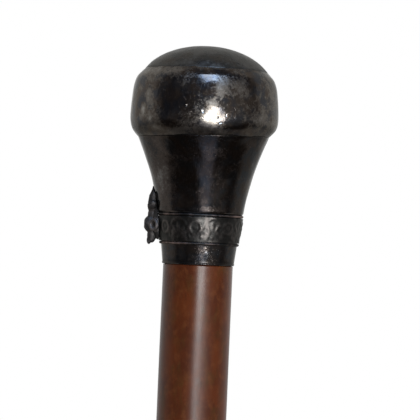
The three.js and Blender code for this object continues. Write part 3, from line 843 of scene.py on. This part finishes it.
def frieze(turn, rise):
    """Height of the relief at this turn round the stick and this rise above the band's middle."""
    height = np.zeros_like(turn)
    radius = face_radius(BAND_MIDDLE + rise)

    def arc(center):
        return ((turn - center + math.pi) % (2 * math.pi) - math.pi) * radius

    pitch, first = np.radians([48, 36])
    root = ROOT_RISE - BAND_HEIGHT / 2
    for i in range(3):
        for side in (-1, 1):
            center = CARTOUCHE_TURN + side * (first + i * pitch)
            height = np.maximum(height, rosette(arc(center), rise - ROSETTE_RISE))
            height = np.maximum(height, palmette(arc(center + side * pitch / 2), rise - root))
    height = np.maximum(height, rosette(arc(CARTOUCHE_TURN + math.pi), rise - ROSETTE_RISE))
    border = 0.16 * dome(np.abs(rise) - BAND_HEIGHT / 2 + 0.2, 0.24)
    return np.maximum(height, border)


def blurred(grid, width):
    """The grid averaged over about this many cells. It closes on itself along its first axis."""
    kernel, half = blur(width)
    round_way = sum(k * np.roll(grid, i - half, axis=0) for i, k in enumerate(kernel))
    padded = np.pad(round_way, ((0, 0), (half, half)), mode="edge")
    return sum(k * padded[:, i : i + grid.shape[1]] for i, k in enumerate(kernel))


def add_band(material):
    columns, rows = 1080, 96
    turn = np.arange(columns)[:, None] * 2 * math.pi / columns + np.zeros((1, rows))
    rise = np.linspace(BAND_HEIGHT / 2, -BAND_HEIGHT / 2, rows)[None, :] + np.zeros((columns, 1))
    radius = face_radius(BAND_MIDDLE + rise)
    flat = on_circle(turn, radius, BAND_MIDDLE + rise).reshape(-1, 3)

    def on_grid(values):
        return values.reshape(columns, rows)

    # The column where the window's highlight runs down the band: its relief is kept low, and its colour is
    # lightened as a painted highlight.
    highlight_streak = spotted(flat, [(9, BAND_MIDDLE + 1.5, 3.6, 2.8, 1)])
    kept = 0.64 + 0.34 * waves(flat, 2.4, 4) - 0.6 * highlight_streak
    kept -= spotted(flat, [(-6, BAND_MIDDLE, 7, 4, 0.45), (34, BAND_MIDDLE, 17, 5, 0.3)])
    relief = 0.72 * blurred(frieze(turn, rise), 4) * on_grid(np.clip(kept, 0.1, 1))
    uneven = on_grid(0.04 * waves(flat, 0.9, 5) + 0.05 * waves(flat, 2.6, 6))
    lift = relief + uneven * (0.6 + relief)
    lift -= on_grid(spotted(flat, [(8, BAND_TOP, 8, 2.4, 0.17)]))
    lift[:, 0] = lift[:, -1] = 0
    outer = radius + np.clip(lift, -0.2, 0.72)
    back = np.array([BAND_BOTTOM, BAND_TOP]) + np.zeros((columns, 1))
    reach = np.hstack([outer, cone_radius(back) + JOINT_GAP])
    heights = np.hstack([BAND_MIDDLE + rise, back]) + COLLAR_FOOT
    points = on_circle(turn[:, :1], reach, heights).reshape(-1, 3)
    rings = np.arange(len(points)).reshape(columns, rows + 2).T.tolist()
    # Rubbed lighter on the relief's high parts, which is wear, and along the highlight's column, which is a
    # painted highlight.
    high = np.clip(0.15 + (relief - 0.5 * blurred(relief, 9)) / 0.24 + 0.6 * on_grid(highlight_streak), 0, 1)
    high = np.pad(high, ((0, 0), (0, 2))).ravel()
    add_piece("collar_band", points, ring_faces([*rings, rings[0]]), material, "worn_silver", high=high)


def add_wire(name, top, material, seed, spots):
    """A half-round wire, rubbed along its middle, and more so at the spots."""
    angles = np.linspace(0.12, math.pi - 0.12, 13)
    middle = top - WIRE_HEIGHT / 2
    bulge = [(WIRE_THICKNESS * math.sin(a), middle + WIRE_HEIGHT / 2 * math.cos(a)) for a in angles]
    back = [(0, top - WIRE_HEIGHT), (0, top)]
    loop = [(cone_radius(y) + JOINT_GAP + x, COLLAR_FOOT + y) for x, y in [*bulge, *back]]
    points, faces = lathe(loop, WIRE_STEPS)
    front = len(bulge) * WIRE_STEPS
    reach = from_axis(points[:front]).max()
    points[:front] = pushed_in(points[:front], 0.05 * (1 + waves(points[:front], 2.2, seed)), reach)
    middles = np.repeat([math.sin(a) ** 2 for a in angles] + [0, 0], WIRE_STEPS)
    high = middles * (0.05 + spotted(points, spots))
    add_piece(name, points, faces, material, "worn_silver", high=high)


# Cartouche: modelled at the front, where Y points into the stick, and then turned to its side

VOLUTE_TURN = math.radians(12.7)
VOLUTE_FACE_TURN = math.radians(45)
VOXEL = 0.11
CARTOUCHE_MIDDLE = BAND_MIDDLE + 0.8
CARTOUCHE_FACE = face_radius(CARTOUCHE_MIDDLE)
VOLUTE_REACH = CARTOUCHE_FACE + 1.4

# The two forms of the knot, the boss, the plate behind, the foot's leaf and the drop: how far each stands off
# the band's face, its rise, and its width, thickness and length.
CARTOUCHE_FORMS = [
    (3.35, 5.6, 4.2, 3.6, 4.6),
    (3.2, 3.2, 3.2, 3.6, 5),
    (4.4, 0.3, 4.4, 5, 5.6),
    (1.7, 1.4, 7, 3.82, 11.5),
    (3.15, -2.9, 2.6, 2.9, 5),
    (3.2, -4.5, 1.4, 1.4, 2.8),
]


def place_on_cartouche(proud, thickness, rise):
    """The middle of a form this thick whose front stands this far off the band's face."""
    reach = CARTOUCHE_FACE + proud - thickness / 2
    return Matrix.Translation((0, -reach, CARTOUCHE_MIDDLE + rise))


def add_pebble(bm, matrix, width, thickness, length):
    size = Matrix.Diagonal((width / 2, thickness / 2, length / 2, 1))
    bmesh.ops.create_icosphere(bm, subdivisions=4, radius=1, matrix=matrix @ size)


def add_rope(bm, route, radii, sides=14):
    """A closed round tube along a route, with its own radius at each point."""
    rings = []
    for i, (center, radius) in enumerate(zip(route, radii)):
        ahead = (route[min(i + 1, len(route) - 1)] - route[max(i - 1, 0)]).normalized()
        one = ahead.cross(Vector((0, 1, 0))).normalized()
        other = ahead.cross(one)
        angles = [2 * math.pi * k / sides for k in range(sides)]
        ring = [bm.verts.new(center + (one * math.cos(a) + other * math.sin(a)) * radius) for a in angles]
        rings.append(ring)
    for first, second in zip(rings, rings[1:]):
        for k in range(sides):
            j = (k + 1) % sides
            bm.faces.new((first[k], first[j], second[j], second[k]))
    bm.faces.new(rings[0][::-1])
    bm.faces.new(rings[-1])


def crest_places():
    """Matrix and length of each leaf of the crest. A leaf grows from the origin, up Z."""
    root = place_on_cartouche(2.9, 2.4, 4.6) @ Matrix.Rotation(math.radians(3), 4, "X")
    angles = np.radians([-54, -27, 0, 27, 54])
    lengths = 7.2 * np.array([0.6, 0.85, 1, 0.85, 0.6])
    return [(root @ Matrix.Rotation(a, 4, "Y"), length) for a, length in zip(angles, lengths)]


def cartouche_forms():
    bm = bmesh.new()
    for matrix, length in crest_places():
        add_pebble(bm, matrix @ Matrix.Translation((0, 0, length / 2)), 2.2, 3.4, length)
    for proud, rise, width, thickness, length in CARTOUCHE_FORMS:
        add_pebble(bm, place_on_cartouche(proud, thickness, rise), width, thickness, length)
    for side in (-1, 1):
        matrix = Matrix.Rotation(side * VOLUTE_TURN, 4, "Z")
        matrix = matrix @ Matrix.Translation((0, -VOLUTE_REACH, CARTOUCHE_MIDDLE))
        matrix = matrix @ Matrix.Rotation(side * (VOLUTE_FACE_TURN - VOLUTE_TURN), 4, "Z")
        coil = np.linspace(0, 1, 60)
        angles = math.radians(250) - coil * math.radians(430)
        spans = 1.48 - 0.26 * coil
        route = [
            matrix @ Vector((side * span * math.cos(a), -0.25 * t, 1.1 * span * math.sin(a)))
            for a, span, t in zip(angles, spans, coil)
        ]
        add_rope(bm, route, 0.6 - 0.14 * coil)
        add_pebble(bm, matrix @ Matrix.Translation((0, 0.6, 0)), 2.8, 0.7, 3)
    return bm


def hugging(points):
    """The crest laid closer to the flare that it covers, the more so towards its tip."""
    radius = from_axis(points)
    seat = seat_radius(points[:, 2])
    share = np.interp(points[:, 2] - CARTOUCHE_MIDDLE, [6, 9, 11.5], [1, 0.75, 0.15])
    closer = np.where(radius > seat, seat + (radius - seat) * share, radius)
    points[:, :2] *= (closer / radius)[:, None]


def seat_radius(height):
    """What the cartouche lies on, grown by the joint gap, as a radius at each height."""
    neck = sorted((z - COLLAR_FOOT, r) for r, z in NECK_CORNERS)
    radius = np.interp(height, *zip(*neck)) + JOINT_GAP
    on_band = (height > BAND_BOTTOM) & (height < BAND_TOP)
    radius = np.where(on_band, face_radius(height) + JOINT_GAP, radius)
    for top in (UPPER_WIRE_TOP, LOWER_WIRE_TOP):
        middle = top - WIRE_HEIGHT / 2
        on_wire = np.abs(height - middle) < WIRE_HEIGHT / 2 + JOINT_GAP
        radius = np.where(on_wire, cone_radius(height) + WIRE_THICKNESS + 2 * JOINT_GAP, radius)
    return radius


def joined(bm):
    """The forms grown into one and softened: its points, normals and faces."""
    bmesh.ops.transform(bm, matrix=Matrix.Scale(MM, 4), verts=bm.verts)
    holder = new_object("cartouche_forms", bm)
    remesh = holder.modifiers.new("join", "REMESH")
    remesh.mode = "VOXEL"
    remesh.voxel_size = VOXEL * MM
    smooth = holder.modifiers.new("settle", "SMOOTH")
    smooth.factor = 0.5
    smooth.iterations = 4
    whole = holder.evaluated_get(bpy.context.evaluated_depsgraph_get()).to_mesh()
    points = np.array([v.co for v in whole.vertices]) / MM
    normals = np.array([v.normal for v in whole.vertices])
    faces = [list(face.vertices) for face in whole.polygons]
    holder.to_mesh_clear()
    bpy.data.objects.remove(holder)
    return points, normals, faces


def carving(points):
    """Depths of the leaves' veins and ribs, the boss's flutes and small flaws of the casting."""
    depth = np.zeros(len(points))
    for matrix, length in crest_places():
        inverse = np.array(matrix.inverted())
        x, y, z = (points @ inverse[:3, :3].T + inverse[:3, 3]).T
        aside = np.abs(x)
        along = z / length
        on_leaf = (along > 0.12) & (along < 0.97) & (aside < 1.05) & (y < 0.4)
        vein = 0.2 * np.exp(-((x / 0.16) ** 2))
        ribs = 0.05 * (1 + np.cos(2 * math.pi * (z / 0.75 - aside * 1.1)))
        depth = np.maximum(depth, np.where(on_leaf, vein + ribs * np.clip(aside, 0, 0.6), 0))
    boss = place_on_cartouche(4.4, 5, 0).translation
    along = (points[:, 2] - boss.z) / 3
    fluted = (np.abs(along) < 0.8) & (np.abs(points[:, 0]) < 2.1) & (points[:, 1] < boss.y)
    flute = 0.1 * (0.5 - 0.5 * np.cos(2 * math.pi * points[:, 0] / 1.1)) * (1 - along**2)
    depth = np.maximum(depth, np.where(fluted, flute, 0))
    return depth + 0.03 * (1 + waves(points, 0.8, 8))


def add_cartouche(material):
    points, normals, faces = joined(cartouche_forms())
    depth = carving(points)
    points -= normals * depth[:, None]
    hugging(points)
    radius = from_axis(points)
    sunk = np.interp(points[:, 2] - CARTOUCHE_MIDDLE, [7.5, 10], [0, 0.3])
    seat = seat_radius(points[:, 2]) - sunk
    points[:, :2] *= (np.maximum(radius, seat) / radius)[:, None]
    x, y, z = points.T
    cos, sin = math.cos(CARTOUCHE_TURN), math.sin(CARTOUCHE_TURN)
    turned = np.stack([x * cos - y * sin, x * sin + y * cos, z + COLLAR_FOOT], axis=1)
    low, high = np.array(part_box("cartouche")) / MM
    proud = np.clip((radius - seat) / 3.2, 0, 1)
    center = (VOLUTE_REACH * math.sin(VOLUTE_TURN), VOLUTE_REACH * math.cos(VOLUTE_TURN), CARTOUCHE_MIDDLE)
    from_volute = np.linalg.norm(np.abs(points) - center, axis=1)
    on_volute = (np.abs(x) > 2) & (from_volute > 0.95) & (from_volute < 2.3)
    raised = np.clip(0.12 + 0.4 * proud - 3.2 * depth + 0.5 * on_volute, 0, 1)
    add_piece("cartouche", np.clip(turned, low, high), faces, material, "worn_silver", high=raised)


def add_collar():
    relief = relief_silver("silver_relief", (0.042, 0.041, 0.039), (0.1, 0.088, 0.082), 0.31)
    cast = relief_silver("silver_cast", (0.066, 0.063, 0.062), (0.19, 0.165, 0.157), 0.54)
    wire = relief_silver("silver_wire", (0.036, 0.035, 0.034), (0.26, 0.19, 0.17), 0.42)
    add_band(relief)
    add_wire("upper_edge_wire", UPPER_WIRE_TOP, wire, 1, UPPER_WIRE_SPOTS)
    add_wire("lower_edge_wire", LOWER_WIRE_TOP, wire, 2, LOWER_WIRE_SPOTS)
    add_cartouche(cast)


# Shaft and ferrule

SHAFT_STEPS = 144
NAIL_RISE = 0.4
NAIL_RADIUS = 0.45


def add_turned(name, loop, material, slot, steps, edges):
    """A closed turned piece. The edges are heights at which it is rubbed bright."""
    points, faces = lathe(loop, steps)
    edge = np.max([gathered(points, height, 0.5) for height in edges], axis=0)
    add_piece(name, points, faces, material, slot, edge=edge)


def add_shaft():
    outside = corners("shaft")
    (bore_radius, bore_top), *_, (_, bore_bottom) = corners("shaft", outside=False)
    sleeve_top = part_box("ferrule_sleeve")[1].z / MM
    *spigot, body_top, even_foot, in_sleeve, body_foot = [p for p in outside if p[1] > sleeve_top]
    top_radius, top = body_top
    foot = outside[-1]
    loop = [
        (0, bore_bottom),
        (bore_radius, bore_bottom),
        (bore_radius, bore_top),
        *spigot,
        (top_radius - 0.15, top),
        (top_radius, top - 0.15),
        (top_radius, top - 0.22),
        *spline([body_top, even_foot], 30)[1:],
        *spline([even_foot, body_foot], 100)[1:],
        in_sleeve,
        foot,
        (0, foot[1]),
    ]
    points, faces = lathe(loop, SHAFT_STEPS)
    below = top - points[:, 2]
    on_body = (from_axis(points) > top_radius - 0.2) & (below < 300)
    fading = np.clip(below / 12, 0, 1) * np.clip(5 - below / 60, 0, 1)
    flattened = spotted(points, [(17, top - 30, 15, 60, 0.17)])
    depth = np.where(on_body, 0.05 * fading * waves(points * (1, 1, 0.3), 8, 9) + flattened, 0)
    points = pushed_in(points, depth, top_radius + 0.1)
    add_piece("shaft", points, faces, malacca_cane(), "malacca")


def add_sleeve(brass):
    low, high = [corner.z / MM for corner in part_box("ferrule_sleeve")]
    outside, bore = corners("ferrule_sleeve"), corners("ferrule_sleeve", outside=False)
    top_radius, foot_radius = outside[0][0], outside[-1][0]
    wall = top_radius - bore[0][0]

    def at(height, inwards=0):
        return (np.interp(height, [low, high], [foot_radius, top_radius]) - inwards, height)

    line = [at(high, 0.25), at(high - 0.25)]
    for ring in (high - 1.6, high - 2.5, low + 2.2):
        line += [at(ring + 0.2), at(ring, 0.16), at(ring - 0.2)]
    line += [at(low + 0.2), at(low, 0.2)]
    loop = [*eased(line, 0.1, 0.08), at(low, wall), at(high, wall)]
    add_turned("ferrule_sleeve", loop, brass, "brass", SHAFT_STEPS, (high - 0.2, low + 0.2))


def add_tip():
    steel = worn_metal("steel", (0.24, 0.23, 0.22), (0.055, 0.05, 0.046), 0.34, 0.5)
    tip = corners("ferrule_tip")
    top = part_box("ferrule_tip")[1].z / MM
    outer = eased([(0, top), *tip, (0, 0)], 0.12, 0.1)
    outer[:, 1] = np.clip(outer[:, 1], 0, top)
    add_turned("ferrule_tip", outer, steel, "steel", 120, (0.3, tip[-1][1]))


def add_pin(name, side, brass):
    low, high = [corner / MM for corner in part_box(name)]
    reach = max(abs(low.y), abs(high.y))
    length = high.y - low.y
    head_radius = (high.x - low.x) / 2
    angles = np.linspace(0, math.pi / 2, 9)
    head = [(head_radius * math.sin(a), -NAIL_RISE * (1 - math.cos(a))) for a in angles]
    nail = [*head, (NAIL_RADIUS, -NAIL_RISE), (NAIL_RADIUS, NAIL_RADIUS - length), (0, -length)]
    points, faces = lathe(nail, 40)
    x, y, z = points.T
    placed = np.stack([x, side * (reach + z), (low.z + high.z) / 2 + y * side], axis=1)
    add_piece(name, placed, faces, brass, "brass", edge=np.exp(-((z / 0.3) ** 2)))


def add_ferrule():
    brass = worn_metal("brass", (0.32, 0.2, 0.075), (0.12, 0.075, 0.03), 0.3, 0.8)
    add_sleeve(brass)
    add_tip()
    add_pin("ferrule_pin_front", -1, brass)
    add_pin("ferrule_pin_back", 1, brass)


def dress(node, material):
    """Gives a CAD node that stays its material."""
    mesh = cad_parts[node].data
    mesh.materials.clear()
    mesh.materials.append(material)


add_camera()
add_world()
add_floor()
add_lamps()
add_knob()
add_collar()
add_shaft()
add_ferrule()
dress("knob_filling", hard_filling())
dress("knob_dowel", bare_wood())

scene.view_settings.view_transform = "Standard"
